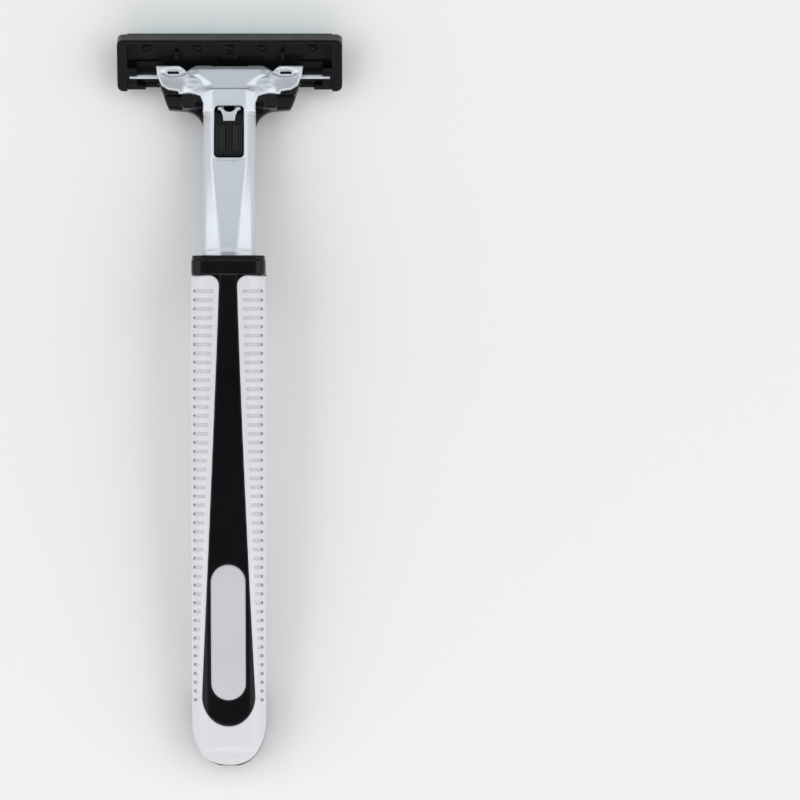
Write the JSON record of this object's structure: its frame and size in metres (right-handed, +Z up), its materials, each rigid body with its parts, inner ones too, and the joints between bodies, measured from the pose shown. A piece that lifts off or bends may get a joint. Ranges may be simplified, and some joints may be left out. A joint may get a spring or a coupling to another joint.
{
  "type": "cartridge razor",
  "caption": "Cartridge razor with a bowed ribbed handle, a slanted neck with a release button, and a sprung pivoting blade cartridge that comes off.",
  "frame": {"origin": "centre of the box's footprint, on the surface that the razor lies on", "axes": "+X across the razor along the blades, +Y from the tail to the cartridge, +Z up out of the front face"},
  "size_m": [0.042, 0.137, 0.0179],
  "materials": {
    "black_plastic": "glossy moulded black",
    "pearl_shell": "pearl white, satin gloss",
    "grip_plastic": "soft satin light grey",
    "soft_pad": "soft grey rubber",
    "satin_silver": "satin silver plating",
    "steel": "polished steel",
    "cartridge_plastic": "satin moulded black",
    "strip": "waxy teal strip"
  },
  "bodies": {
    "handle": {"handle_core": "black_plastic", "front_shell": "pearl_shell", "rear_grip": "grip_plastic", "thumb_pad": "soft_pad", "handle_weight": "steel", "tang_pin": "steel", "neck_base": "black_plastic", "neck_cover": "satin_silver", "lever_pin": "steel", "lever_spring": "steel"},
    "button": {"release_button": "black_plastic", "release_fork": "satin_silver", "button_spring": "steel"},
    "arm_left": {"bearing_arm_left": "satin_silver"},
    "arm_right": {"bearing_arm_right": "satin_silver"},
    "lever": {"return_lever": "cartridge_plastic"},
    "cartridge": {"cartridge_housing": "cartridge_plastic", "lower_blade": "steel", "blade_spacer": "cartridge_plastic", "upper_blade": "steel", "cartridge_cap": "cartridge_plastic", "lubricating_strip": "strip"}
  },
  "joints": [
    {"name": "button_slide", "type": "slide", "parent": "handle", "child": "button", "axis": [0, 0.9836, -0.1805], "range_m": [0, 0.0026], "stiffness_N_per_m": 800, "springref_m": -0.0008, "deforming": ["button_spring"]},
    {"name": "arm_left_slide", "type": "slide", "parent": "handle", "child": "arm_left", "axis": [1, 0, 0], "range_m": [0, 0.0015]},
    {"name": "arm_right_slide", "type": "slide", "parent": "handle", "child": "arm_right", "axis": [-1, 0, 0], "range_m": [0, 0.0015]},
    {"name": "cartridge_pivot", "type": "hinge", "parent": "handle", "child": "lever", "pos_m": [0, 0.06039, 0.00456], "axis": [1, 0, 0], "range_deg": [0, 34], "stiffness_Nm_per_rad": 0.006, "springref_deg": -20.05, "deforming": ["lever_spring"]},
    {"name": "cartridge_release", "type": "slide", "parent": "lever", "child": "cartridge", "axis": [0, 0.9272, 0.3746], "range_m": [0, 0.012]}
  ],
  "couplings": [
    {"joint": "arm_left_slide", "follows": "button_slide", "ratio": 0.57692},
    {"joint": "arm_right_slide", "follows": "button_slide", "ratio": 0.57692}
  ]
}
